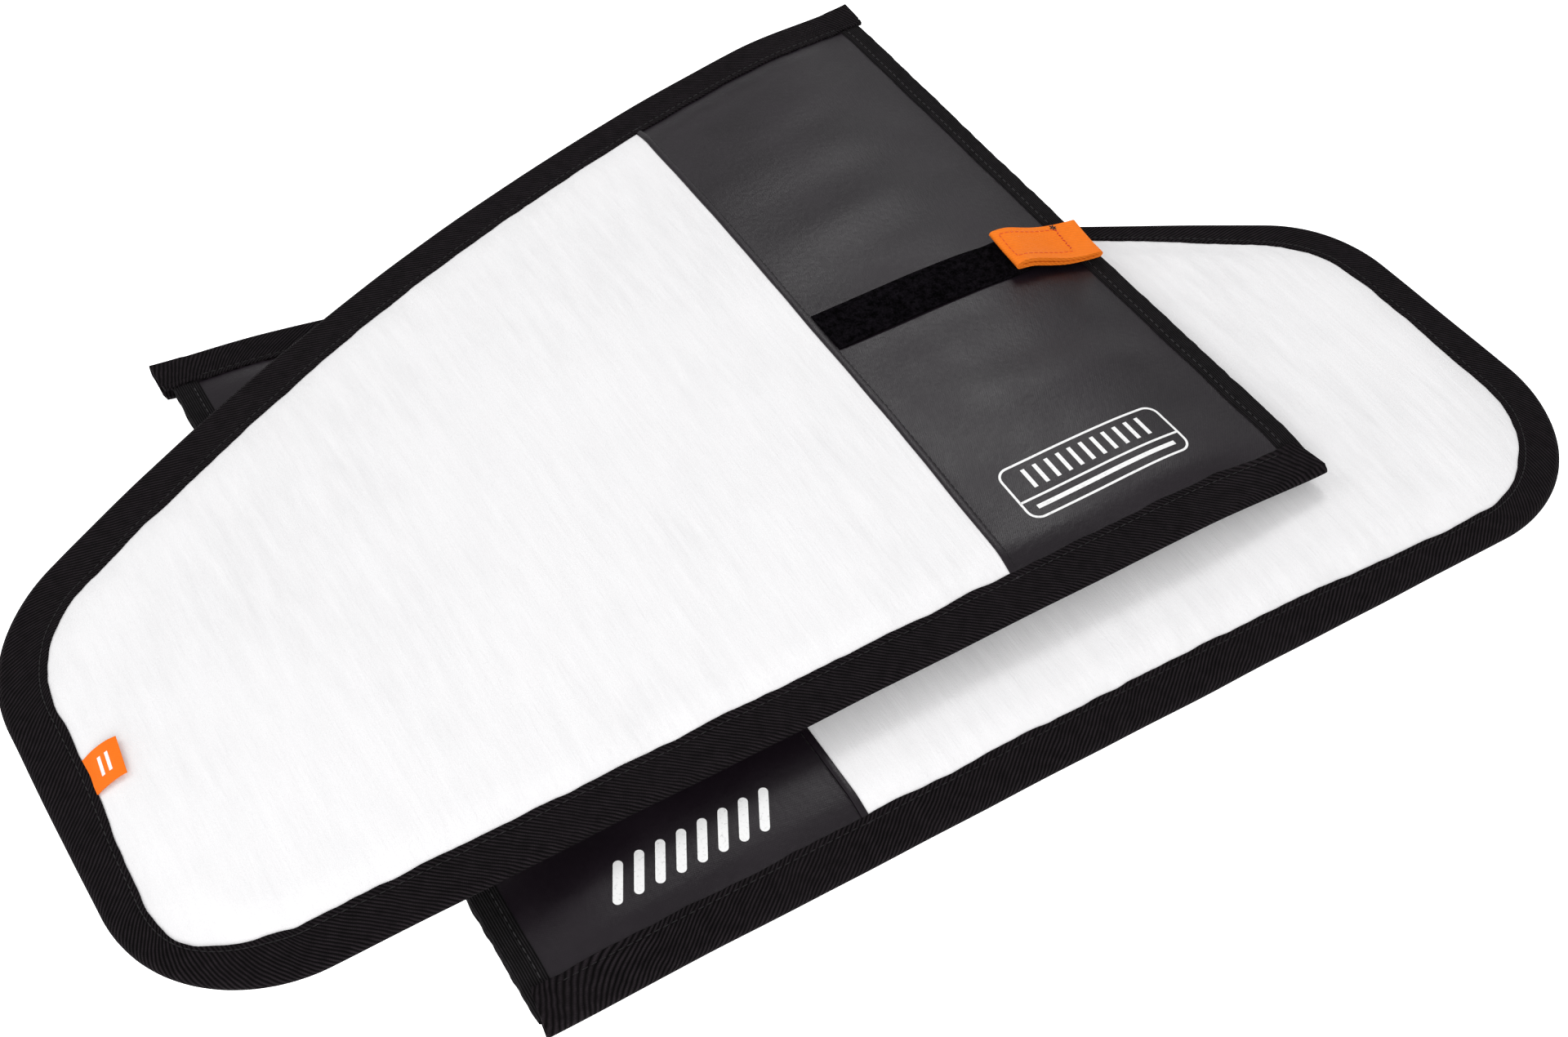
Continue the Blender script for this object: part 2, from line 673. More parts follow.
def brushed_nap():
    """Short fibres brushed one way, with finer fuzz over them."""
    net = Group("Brushed nap", {"Fibre": 900.0}, ("Height", "Shade"))
    streaks = net.noise(net.given["Fibre"], 4.0, 0.65, net.stretched((1.0, 0.07, 1.0), 0.12))
    tufts = net.noise(240.0, 4.0, 0.6, net.stretched((1.0, 0.12, 1.0), -0.2))
    net.give(streaks * 0.5 + net.noise(2600.0) * 0.25 + tufts * 0.5, tufts.spread(0.25, 0.75))


def woven_scrim():
    """Fine crossed threads that show through a coating."""
    net = Group("Woven scrim", {"Pitch": 0.9 * MM}, ("Height",))
    parts = net.node("SeparateXYZ", {0: net.stretched((1, 1, 1), math.radians(40))}, None)
    waves = [(parts[axis] / net.given["Pitch"] * TAU).math("SINE").math("ABSOLUTE") for axis in "XY"]
    net.give(waves[0].math("MAXIMUM", waves[1]))


def rubbed_patches():
    """Where cloth has been handled: soft patches with a finer break-up."""
    net = Group("Rubbed patches", {"Size": 30.0}, ("Mask",))
    net.give(net.noise(net.given["Size"], 5.0, 0.6).spread(0.42, 0.68))


def scaled(rgb, amount):
    return tuple(min(1.0, c * amount) for c in rgb) + (1.0,)


class Finish(Net):
    """A material; constants are set on its Principled shader's own sockets."""

    def __init__(self, name, roughness, specular=0.5, sheen=0.0):
        material = bpy.data.materials.new(name)
        material.use_nodes = True
        super().__init__(material.node_tree)
        self.shader = self.tree.nodes["Principled BSDF"].inputs
        self.shader["Roughness"].default_value = roughness
        self.shader["Specular IOR Level"].default_value = specular
        self.shader["Sheen Weight"].default_value = sheen
        self.places = self.signals(self.tree.nodes.new("ShaderNodeTexCoord"))
        self.place = self.places["Object"]
        made["materials"][name] = material

    def use(self, group, where="Object", **values):
        given = {label.replace("_", " "): value for label, value in values.items()}
        return self.node("Group", {"Vector": self.places[where], **given}, None,
                         node_tree=bpy.data.node_groups[group])

    def tint(self, amount, rgb, low, high):
        return self.mix(amount, scaled(rgb, low), scaled(rgb, high))

    def finish(self, colour, height, depth, roughness=None):
        """Link the colour, a bump of real depth in metres, and any roughness that varies."""
        self.feed(self.shader["Base Color"], colour)
        bump = self.node("Bump", {"Strength": 1.0, "Distance": depth, "Height": height})
        self.feed(self.shader["Normal"], bump)
        if roughness:
            self.feed(self.shader["Roughness"], roughness)


def tape_material(name, rgb, rib, yarn, lean, depth, lift=11.0, roughness=0.9):
    """Ribbed tape that follows the piece's own texture coordinates."""
    net = Finish(name, roughness, 0.08)
    weave = net.use("Ribbed weave", "UV", Rib_pitch=rib * MM, Yarn_pitch=yarn * MM, Lean=math.radians(lean))
    rubbed = net.use("Rubbed patches", Size=45.0)
    base = net.tint(weave["Shade"], rgb, 0.2, lift)
    net.finish(net.mix(rubbed["Mask"] * 0.12, base, scaled(rgb, lift * 0.6)), weave["Height"], depth * MM,
               weave["Height"].spread(0, 1, roughness + 0.08, roughness - 0.1))


def orange_material(name, rgb, rib, depth, roughness):
    """Dyed webbing or satin, a little paler where it is rubbed."""
    net = Finish(name, roughness, 0.12)
    weave = net.use("Ribbed weave", "UV", Rib_pitch=rib * MM, Yarn_pitch=0.5 * MM, Lean=math.radians(62))
    rubbed = net.use("Rubbed patches", Size=90.0)
    paler = (1.0, rgb[1] * 1.2, rgb[2] * 1.8, 1)
    net.finish(net.mix(rubbed["Mask"] * 0.25, net.tint(weave["Shade"], rgb, 0.90, 1.15), paler), weave["Height"],
               depth * MM)


def thread_material(name, rgb):
    net = Finish(name, 0.6, 0.3, 0.1)
    twist = net.noise(1500.0, vector=net.stretched((1.0, 3.0, 3.0)))
    net.finish(net.tint(twist, rgb, 0.6, 1.5), twist, 0.12 * MM)


def build_materials(f):
    """Every finish, from the shared groups."""
    made["materials"] = {}
    for shared in (ribbed_weave, brushed_nap, woven_scrim, rubbed_patches):
        shared()

    net = Finish("white_cloth", 0.92, 0.15, 0.25)
    nap, soiled = net.use("Brushed nap", Fibre=900.0), net.use("Rubbed patches", Size=14.0)
    streaky = soiled["Mask"] * (nap["Shade"] * -1.0 + 1.0) * 0.36
    clean = net.tint(nap["Shade"], f.white_cloth, 0.965, 1.02)
    net.finish(net.mix(streaky, clean, scaled(f.white_cloth, 0.80)), nap["Height"], 0.5 * MM)

    net = Finish("tarpaulin", 0.40, 0.30)
    scrim, handled = net.use("Woven scrim", Pitch=0.9 * MM), net.use("Rubbed patches", Size=26.0)["Mask"]
    cloudy = net.noise(480.0, 3.0)
    net.finish(net.tint(handled, f.tarpaulin, 0.88, 1.18), scrim["Height"] * 0.35 + cloudy, 0.11 * MM,
               (handled + cloudy).spread(0.3, 1.6, 0.28, 0.42))

    tape_material("binding_tape", f.binding, 1.20, 0.58, 50, 0.75)
    tape_material("hem_tape", f.hem, 0.85, 0.55, 90, 0.30, lift=5.0)

    net = Finish("loop_pile", 1.0, 0.02)
    fluff = net.noise(1500.0, 3.0, 0.7) + net.noise(420.0) * 0.8
    net.finish(net.tint(fluff.spread(0.75, 1.15), f.loop_pile, 0.3, 4.0), fluff, 0.7 * MM)

    net = Finish("hook_tape", 0.45, 0.4)
    cells = net.node("TexVoronoi", {"Vector": net.place, "Scale": 1100.0, "Randomness": 0.25})
    tips = cells.spread(0.1, 0.45, 1.0, 0.0)
    net.finish(net.tint(tips, f.hook, 0.6, 2.0), tips, 0.6 * MM)

    net = Finish("foam", 0.9, 0.2)
    pores = net.node("TexVoronoi", {"Vector": net.place, "Scale": 1400.0})
    net.finish(net.tint(pores, f.foam, 1.1, 0.7), pores, 0.3 * MM)

    net = Finish("lining", 0.7, 0.3, 0.1)
    cloth, shade = net.use("Woven scrim", Pitch=0.8 * MM)["Height"], net.use("Rubbed patches", Size=30.0)["Mask"]
    net.finish(net.tint(cloth, f.lining, 0.7, 1.25), cloth, 0.15 * MM, shade.spread(0, 1, 0.62, 0.78))

    orange_material("orange_webbing", f.webbing, 1.1, 0.16, 0.72)
    orange_material("orange_satin", f.satin, 0.5, 0.04, 0.5)

    net = Finish("print_ink", 0.5, 0.35)
    chalk = net.noise(900.0, 4.0, 0.7)
    net.finish(net.tint(chalk.spread(0.3, 0.45), f.ink, 0.72, 1), chalk, 0.03 * MM)

    for name in ("red_thread", "black_thread", "grey_thread"):
        thread_material(name, getattr(f, name))
    thread_material("orange_thread", (0.80, f.webbing[1] * 0.45, f.webbing[2] * 0.5))


# ---------------------------------------------------------------- operators

class PieceOperator(bpy.types.Operator):
    """Shared by every operator here: run make, and stop the script if it fails."""
    bl_options = {"REGISTER", "UNDO"}

    def execute(self, context):
        self.make(settings())
        return {"FINISHED"}


class COVERS_OT_prepare(PieceOperator):
    """Work out both covers' outlines and build the finishes"""
    bl_idname = "covers.prepare"
    bl_label = "Outlines and finishes"

    def make(self, given):
        build_covers(given)
        build_materials(given.finish)


class COVERS_OT_panels(PieceOperator):
    """Cloth and tarpaulin panels of all four faces, sewn at the slanted seam"""
    bl_idname = "covers.panels"
    bl_label = "Face panels"

    def make(self, given):
        for cover in both_covers():
            sheet = blank(cover, given.pad.grain)
            for side, out in SIDES:
                def heights(x, y, cover=cover, out=out):
                    top = cover.top(x, y, out=out)
                    return top, top - out * given.pad.cloth_t
                for panel, offset, finish in (("tarp", -1.0, "tarpaulin"), ("white", -0.9, "white_cloth")):
                    bm = cut_at_seam(sheet.copy(), cover, offset * MM, panel == "tarp")
                    flat, area = flat_facts(bm)
                    made_panel = faced(bm, cover, heights, f"{side}_{panel}_panel.{cover.name}", finish,
                                       f"{cover.name}_{side}_{panel}_panel")
            sheet.free()


class COVERS_OT_padding(PieceOperator):
    """Foam pads and pocket linings under the panels"""
    bl_idname = "covers.padding"
    bl_label = "Padding and linings"

    def make(self, given):
        pad = given.pad
        for cover in both_covers():
            sheet = blank(cover, pad.grain * 2)
            flat, area = flat_facts(sheet)
            for side, out in SIDES:
                def foam(x, y, cover=cover, out=out):
                    """Both sides of the foam: thin where it is sewn down."""
                    away, run = cover.outline.nearest(x, y)
                    loft = smooth((away - pad.sewn_w + 3 * MM) / pad.foam_run)
                    loft = loft * (0.3 + 0.7 * smooth((x - 6 * MM) / (20 * MM)))
                    outer = cover.top(x, y, away, run, out) - out * (pad.cloth_t + pad.gap)
                    return outer, outer - out * (pad.thin + (pad.foam_t - 2 * pad.thin) * loft)

                def lining(x, y, out=out, foam=foam):
                    outer = foam(x, y)[1] - out * pad.gap
                    return outer, outer - out * pad.lining_t

                padding = faced(sheet.copy(), cover, foam, f"{side}_foam_pad.{cover.name}", "foam",
                                f"{cover.name}_{side}_foam")
                cloth = faced(sheet.copy(), cover, lining, f"{side}_lining_cloth.{cover.name}", "lining",
                              f"{cover.name}_{side}_lining")
            sheet.free()


# Across the binding's flange: share of its width, and how far the tape stands off there in mm
FLANGE = ((1.0, -0.30), (0.985, -0.02), (0.955, 0.10), (0.90, 0.12), (0.845, 0.05), (0.82, -0.20), (0.795, 0.02),
          (0.74, 0.06), (0.60, 0.04), (0.42, 0.0), (0.22, 0.0), (0.0, 0.0))
STITCH_SHARE = 0.845      # where the binding's stitch row lies across its flange


def binding_section(cover, runs):
    """Lines of the folded tape's closed section along the outline."""
    tape, seed = cover.trim.tape_t, cover.seed + 21
    wave = (0.55 * drift(runs, 0.015, 0, seed) + 0.35 * drift(runs, 0.006, 4, seed)) * MM
    outer = 0.35 * MM * drift(runs, 0.035, 8, seed)
    ends = np.minimum(runs - runs[0], runs[-1] - runs)
    cut_back = 2.6 * MM * np.exp(-ends / (6 * MM)) * np.where(runs < runs[-1] / 2, 1, -1)
    ragged = 0.5 * MM * np.exp(-ends / (2.5 * MM))
    roll = 1.8 * MM
    section = []

    def place(away, run):
        point, inward = cover.outline.at(run)
        return point[:, 0] + inward[:, 0] * away, point[:, 1] + inward[:, 1] * away

    def flange(out, order, outside=True):
        for share, bump in order:
            away = roll + (cover.trim.binding_w - cover.tuck(runs) + wave - roll) * share + outer * (1 - share)
            run = runs + cut_back * share
            x, y = place(away, run)
            over_hem = 0.7 * MM * smooth((13 * MM - np.clip(x, 0, 1)) / (6 * MM))
            frayed = ragged * noise.noise((share * 7, 1, seed))
            off = (tape + bump * MM + over_hem + frayed) if outside else HAIR
            section.append(np.stack([x + 2 * frayed, y, cover.top(x, y, away, run, out) + out * off], axis=1))

    def turn(radius, degrees):
        for a in np.radians(degrees):
            x, y = place(roll - radius * math.cos(a) + outer, runs)
            level = cover.top(x, y, np.full_like(runs, roll), runs) - cover.pad.sewn_rise
            section.append(np.stack([x, y, level + radius * math.sin(a)], axis=1))

    flange(1, FLANGE)
    turn(roll, (68, 45, 22, 0, -22, -45, -68))
    flange(-1, FLANGE[::-1])
    inside = [(share, 0) for share in (1.0, 0.72, 0.35, 0.0)]
    flange(-1, inside, False)
    turn(roll - tape, (-55, 0, 55))
    flange(1, inside[::-1], False)
    return np.stack(section + section[:1], axis=1)


class COVERS_OT_binding(PieceOperator):
    """Twill tape folded over the three closed edges, with its turned-in ends at the root"""
    bl_idname = "covers.binding"
    bl_label = "Edge binding"

    def make(self, given):
        for cover in both_covers():
            whole = cover.outline.runs[-1]
            runs = np.linspace(0, whole, round(whole / (2.0 * MM)) + 1)
            points = binding_section(cover, runs)
            across = section_run(points)
            # The ribs lean over near the ends, where the tape is turned in
            turned = 1 - smooth((np.minimum(runs, whole - runs)[:, None] - 6 * MM) / (40 * MM))
            uv = np.stack([runs[:, None] - 0.85 * turned * (across - across[:, -1:] / 4), across], axis=2)
            bm = swept(points, uv)
            cover.lay(bm)
            piece(bm, f"edge_binding.{cover.name}", cover.body, "binding_tape",
                  (f"{cover.name}_edge_binding",), 60)


# Over the face, share of the hem's width and mm above the face: edge, stitch groove, flat
HEM_TOP = ((1.0, 0.12), (0.985, 0.48), (0.95, 0.58), (0.76, 0.62), (HEM_GROOVE, 0.40), (0.66, 0.62), (0.4, 0.68),
           (0.1, 0.6))


def hem_wave(cover, y):
    return 0.30 * MM * drift(y, 0.018, 2, cover.seed)


class COVERS_OT_hems(PieceOperator):
    """Narrow tape folded over the root edge of each face"""
    bl_idname = "covers.hems"
    bl_label = "Root hems"

    def make(self, given):
        tape, stack, width = 0.6, 1.5, given.trim.hem_w / MM      # all in mm
        half = stack / 2
        for cover in both_covers():
            y = np.linspace(6 * MM, cover.pattern.root_chord - 6 * MM, 170)
            wave, rough = hem_wave(cover, y) / MM, 0.40 * drift(y, 0.0045, 5, cover.seed)
            lines = [(width * share + wave, -rise) for share, rise in HEM_TOP]
            lines += [(0.9 - 1.5 * math.cos(a) + rough, half + 0.1 - (half + tape + 0.1) * math.sin(a))
                      for a in np.radians([60, 30, 0, -30, -60])]
            lines += [(width * 0.1, stack + tape), (width * 0.9, stack + tape + 0.1), (width * 0.9, stack + 0.2)]
            lines += [(1.0 - 0.9 * math.cos(a), half - half * math.sin(a)) for a in np.radians([-50, 0, 50])]
            lines.append((width * 0.9, -0.05))
            for side, out in SIDES:
                section = []
                for across, depth in lines:
                    x = np.full_like(y, 1) * across * MM
                    face = cover.top(np.maximum(x, 1 * MM), y, out=out)
                    section.append(np.stack([x, y, face - out * depth * MM], axis=1))
                loft(cover, section, y, f"{side}_root_hem_tape.{cover.name}", cover.body, "hem_tape",
                     (f"{cover.name}_{side}_root_hem",), crease=60)


class COVERS_OT_seams(PieceOperator):
    """Folded edge over each panel seam, and the stitch rows of seams, bindings and hems"""
    bl_idname = "covers.seams"
    bl_label = "Seams and stitches"

    def make(self, given):
        trim = given.trim
        for cover in both_covers():
            p = cover.pattern
            for side, out in SIDES:
                self.fold(cover, side, out, trim)
                y = np.arange(trim.binding_w, cover.head_y(p.seam_head) - trim.binding_w, 2.9 * MM)
                x = cover.seam_x(y) - SEAM_SHIFT * trim.fold_w - 0.25 * MM
                self.row(cover, x, y, side, out, "seam", 0.06, 2.3, 0.42)
                runs = np.arange(4 * MM, cover.outline.runs[-1] - 4 * MM, 3.1 * MM)
                point, inward = cover.outline.at(runs)
                x, y = (point + inward * ((trim.binding_w - cover.tuck(runs)) * STITCH_SHARE)[:, None]).T
                self.row(cover, x, y, side, out, "binding", trim.tape_t / MM + 0.02, 2.4, 0.40)
                y = np.arange(16 * MM, p.root_chord - 16 * MM, 3.2 * MM)
                x = trim.hem_w * HEM_GROOVE + hem_wave(cover, y)
                self.row(cover, x, y, side, out, "hem", 0.50, 2.5, 0.42, "grey_thread")

    def fold(self, cover, side, out, trim):
        """Turned edge of the tarpaulin, a flat round-shouldered strip along the seam."""
        y = np.linspace(8 * MM, cover.head_y(cover.pattern.seam_head) - 8 * MM, 110)
        wave = 0.18 * MM * drift(y, 0.02, 3, cover.seed)
        section = []
        for share, rise in ((0.0, 0.1), (0.06, 0.62), (0.3, 0.82), (0.7, 0.80), (0.94, 0.60), (1.0, 0.1),
                            (0.5, -0.3)):
            x = cover.seam_x(y) + (share - SEAM_SHIFT) * trim.fold_w + wave * (0.4 + share)
            height = rise * MM * (1 if out > 0 else -0.6)
            section.append(np.stack([x, y, cover.top(x, y, out=out) + height], axis=1))
        loft(cover, section, y, f"{side}_seam_fold.{cover.name}", cover.body, "tarpaulin")

    def row(self, cover, x, y, side, out, kind, lift, length, thickness, finish="black_thread"):
        """Stitches at the given places on a face; lift, length and thickness are in mm."""
        line = np.stack([x, y, cover.top(x, y, out=out) + out * lift * MM], axis=1)
        turn = cover.place.to_3x3()
        places = [(cover.carried(at), turn @ Vector(after - before))
                  for before, at, after in zip(line, line[1:], line[2:])]
        stitches(places, length * MM, thickness * MM, f"{side}_{kind}_stitches.{cover.name}", cover.body, finish)


def strap_height(cover, x, y):
    """Underside of the strap above the cover's own zero: on the face, then over patch and hem."""
    x_on_face = np.maximum(x, 1 * MM)
    away, run = cover.outline.nearest(x_on_face, y)
    face = cover.top(x_on_face, np.full_like(y, cover.trim.loop_y), away, run)
    return face + 1.9 * MM * smooth((cover.trim.fold_x - x) / (14 * MM))


class COVERS_OT_loop_tape(PieceOperator):
    """Loop tape along the middle of each front root panel, free as a strap on the upper cover"""
    bl_idname = "covers.loop_tape"
    bl_label = "Loop tape, strap and hook patch"

    def make(self, given):
        trim = given.trim
        for cover in both_covers():
            end = cover.seam_x(trim.loop_y + trim.loop_w / 2) - SEAM_SHIFT * trim.fold_w - 0.5 * MM
            if cover.name == "lower":
                self.tape(cover, trim.hem_w + 1 * MM, end, "loop_tape_pile.lower", cover.body, "lower_loop_tape")
                continue
            strap = self.tape(cover, 0.5 * MM, end, "loop_tape_strap.upper", None, "upper_loop_tape", "upper_strap")
            begin, finish = (cover.carried((trim.fold_x + side * 4 * MM, trim.loop_y, 0)) for side in (1, -1))
            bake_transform(strap)
            self.hook_patch(cover, trim)

    def tape(self, cover, start, end, name, body, *nodes):
        """Fuzzy pile between two flat selvedges."""
        trim = cover.trim
        x = np.linspace(start, end, round((end - start) / (0.55 * MM)))
        selvedge, flat, full = 2.2 * MM, 0.55 * MM, trim.loop_t - 0.15 * MM
        edge = [(0.0, 0.05 * MM), (0.0, flat), (0.6 * MM, flat), (selvedge * 0.9, flat)]
        pile = [(a, full) for a in np.linspace(selvedge, trim.loop_w - selvedge, 28)]
        far_edge = [(trim.loop_w - a, h) for a, h in edge[::-1]]
        section = []
        for a, h in edge + pile + far_edge:
            y = np.full_like(x, trim.loop_y - trim.loop_w / 2 + a)
            base = strap_height(cover, x, y) if cover.name == "upper" else cover.top(x, y)
            fuzz = 0
            if h == full:
                fuzz = 0.30 * MM * mist(x, y, 1.1 * MM, 9.0) + 0.22 * MM * mist(x, y, 3.2 * MM, 2.0)
            section.append(np.stack([x, y, base + h + fuzz + HAIR], axis=1))
        return loft(cover, section, x, name, body, "loop_pile", nodes, crease=180)

    def hook_patch(self, cover, trim):
        start = trim.fold_x - 19.2 * MM - trim.hook_l
        x = np.linspace(start, start + trim.hook_l, 30)
        half = trim.loop_w / 2 - 1 * MM
        section = []
        for a, h in ((-1, -0.1), (-1, -0.9), (-0.5, -1.1), (0, -1.1), (0.5, -1.1), (1, -0.9), (1, -0.1),
                     (0, -0.05)):
            y = np.full_like(x, trim.loop_y + a * half)
            section.append(np.stack([x, y, strap_height(cover, x, y) + h * MM], axis=1))
        loft(cover, section, x, "hook_patch.upper", "strap", "hook_tape", ("upper_hook_patch",))


def tab_surface(cover, along, across, layer):
    """A point of the pull tab: along from its inner fold, across from its front side.

    layer is 0 for the lower webbing's underside and 1 for the upper webbing's outer side.
    """
    trim = cover.trim
    x = trim.fold_x - trim.tab_start - along
    y = trim.loop_y - trim.tab_w / 2 + across + math.tan(math.radians(-4.5)) * along
    base = strap_height(cover, x, np.full_like(x, trim.loop_y)) + trim.loop_t
    base = base + 2.4 * MM * (1 - smooth(along / (24 * MM)))
    reach, side = along / trim.tab_l, across / trim.tab_w
    x = x - 2.0 * MM * side * reach + 1.6 * MM * (1 - side) * (1 - reach)
    front = 1 - smooth(across / (9 * MM))
    gape = 1.3 * MM * front * smooth(along / (4 * MM)) * (1 - smooth((along - 12 * MM) / (20 * MM)))
    dip = -0.5 * MM * np.sin(np.pi * np.clip(side, 0, 1)) + 0.3 * MM * front
    height = 2.0 * MM + dip * 0.8 + gape * 0.9 + 0.25 * MM * mist(along, across, 10 * MM, 3.0)
    low = 0.05 * MM - gape * 0.25
    return np.stack([x, y, base + low + (height + 0.5 * MM) * layer], axis=-1)


class COVERS_OT_pull_tab(PieceOperator):
    """Orange webbing doubled into a finger loop, with its box stitch and bar tack"""
    bl_idname = "covers.pull_tab"
    bl_label = "Pull tab"

    def make(self, given):
        trim, cover = given.trim, made["upper"]
        across = np.linspace(0, trim.tab_w, 23)
        # Once round the doubled webbing: out along the top, round the finger end, back underneath
        fold, flat = TAB_FOLD, np.linspace(0, 1 - 2 * TAB_FOLD, 34)
        round_end = [(fold * math.sin(a), 0.5 - 0.5 * math.cos(a)) for a in np.linspace(0.35, 2.8, 6)]
        ring = [(fold + t, 1.0) for t in flat] + [(1 - fold + a, 1 - b) for a, b in round_end]
        ring += [(1 - fold - t, 0.0) for t in flat] + [(fold - a, b) for a, b in round_end]
        # Inner side of the webbing: each ring point drawn towards the loop's middle
        inset = trim.tab_t / (2.9 * MM)
        inner = [(min(max(along, 0.06), 0.94), min(max(level, inset), 1 - inset)) for along, level in ring]
        outer, middle = (np.array([tab_surface(cover, np.full_like(across, trim.tab_l * a), across, level)
                                   for a, level in points]) for points in (ring, inner))
        section = np.concatenate([outer, middle[:, ::-1], outer[:, :1]], axis=1)
        section = np.concatenate([section, section[:1]], axis=0)
        run = np.concatenate([[0], np.cumsum(np.linalg.norm(np.diff(section[:, 0], axis=0), axis=1))])
        bm = swept(section, section_uv(section, run), caps=False)
        bmesh.ops.remove_doubles(bm, verts=bm.verts, dist=1e-6)
        cover.lay(bm)
        piece(bm, "pull_tab_webbing.upper", "strap", "orange_webbing", ("upper_pull_tab",), 50)
        self.thread(cover, trim)

    def line(self, cover, start, end, pitch, name, finish="orange_thread", thickness=0.45, zigzag=0.0):
        """Stitches from one place on the tab to another; all lengths are in mm."""
        start, end = np.array(start), np.array(end)
        run = end - start
        count = max(2, round(np.linalg.norm(run) / pitch))
        side = np.array([-run[1], run[0]]) / np.linalg.norm(run) * zigzag
        places = []
        for k in range(count):
            lean = -side if k % 2 else side
            ends = start + run * (k + 0.12) / count + lean, start + run * (k + 0.88) / count - lean
            p, q = (cover.carried(tab_surface(cover, *(end * MM), 1.0) + (0, 0, 0.08 * MM)) for end in ends)
            places.append(((p + q) / 2, q - p))
        return stitches(places, pitch * 0.86 * MM, thickness * MM, name + ".upper", "strap", finish)

    def thread(self, cover, trim):
        """Box stitch on three sides, the red cross line and the bar tack."""
        left, right, edge, far = 2.6, 0.72 * trim.tab_l / MM, 4.0, trim.tab_w / MM - 2.6
        self.line(cover, (left, edge), (right, edge), 2.3, "box_stitch_front")
        self.line(cover, (left, edge), (left, far), 2.3, "box_stitch_side")
        self.line(cover, (left, far), (right, far), 2.3, "box_stitch_far")
        cross = self.line(cover, (right, edge + 1.5), (right, far), 1.5, "cross_stitch", "red_thread", 0.55, 0.5)
        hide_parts("upper_tab_stitching")
        tack = np.array((right - 0.2, far + 1.0))
        for number, turn in enumerate(np.radians([10, 70, 130])):
            reach = 1.7 * np.array([math.cos(turn), math.sin(turn)])
            self.line(cover, tack - reach, tack + reach, 1.7, f"bar_tack_{number}", "black_thread", 0.6)


class COVERS_OT_label(PieceOperator):
    """Satin label sewn in at the tip, with two printed bars"""
    bl_idname = "covers.label"
    bl_label = "Tip label"

    def foot(self, cover):
        """Where the binding's inner edge crosses the label."""
        p, trim = cover.pattern, cover.trim
        return p.tip_foot - p.tip_rake / p.shoulder_y * trim.label_y - trim.binding_w

    def point(self, cover, along, across, rise):
        """Along from the binding, across from the label's lower side."""
        trim = cover.trim
        share = along / trim.label_l
        narrowing = across * (1 - 0.06 * share) - 1.2 * MM * share ** 2
        y = trim.label_y - trim.label_w / 2 + narrowing + math.tan(math.radians(10)) * along
        x = self.foot(cover) + 2.2 * MM - along - 0.11 * (across - trim.label_w / 2)
        curl = 1.1 * MM * smooth(share) * (0.5 + 0.5 * across / trim.label_w)
        lift = 0.05 * MM + 0.75 * MM * smooth((along - 0.8 * MM) / (4 * MM))
        return np.stack([x, y, cover.top(x, y) + lift + curl + rise], axis=-1)

    def make(self, given):
        trim, cover = given.trim, made["upper"]
        along, across = np.linspace(0, trim.label_l, 16), np.linspace(0, trim.label_w, 16)
        section = [self.point(cover, along, np.full_like(along, a), side)
                   for side, order in ((0.55 * MM, across), (0.0, across[::-1])) for a in order]
        self.sewn(cover, section, along, "tip_label.upper", "orange_satin", ("upper_label",), True)
        run = np.linspace(4.0 * MM, trim.label_w - 4.0 * MM, 12)
        for number, share in enumerate((0.42, 0.62)):
            section = [self.point(cover, np.full_like(run, share * trim.label_l + step * MM), run, rise * MM)
                       for step, rise in ((0, 0.5), (0, 0.62), (1.1, 0.62), (1.1, 0.5))]
            self.sewn(cover, section, run, f"label_bar_{number}.upper", "print_ink", (), False)

    def sewn(self, cover, section, stations, name, finish, nodes, slot):
        """A piece that stays in the binding's seam and bends up with the label."""
        made_piece = loft(cover, section, stations, name, None, finish, nodes, slot)
        begin, end = (cover.carried((self.foot(cover) + x * MM, cover.trim.label_y, 0)) for x in (2, -7))
        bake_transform(made_piece)


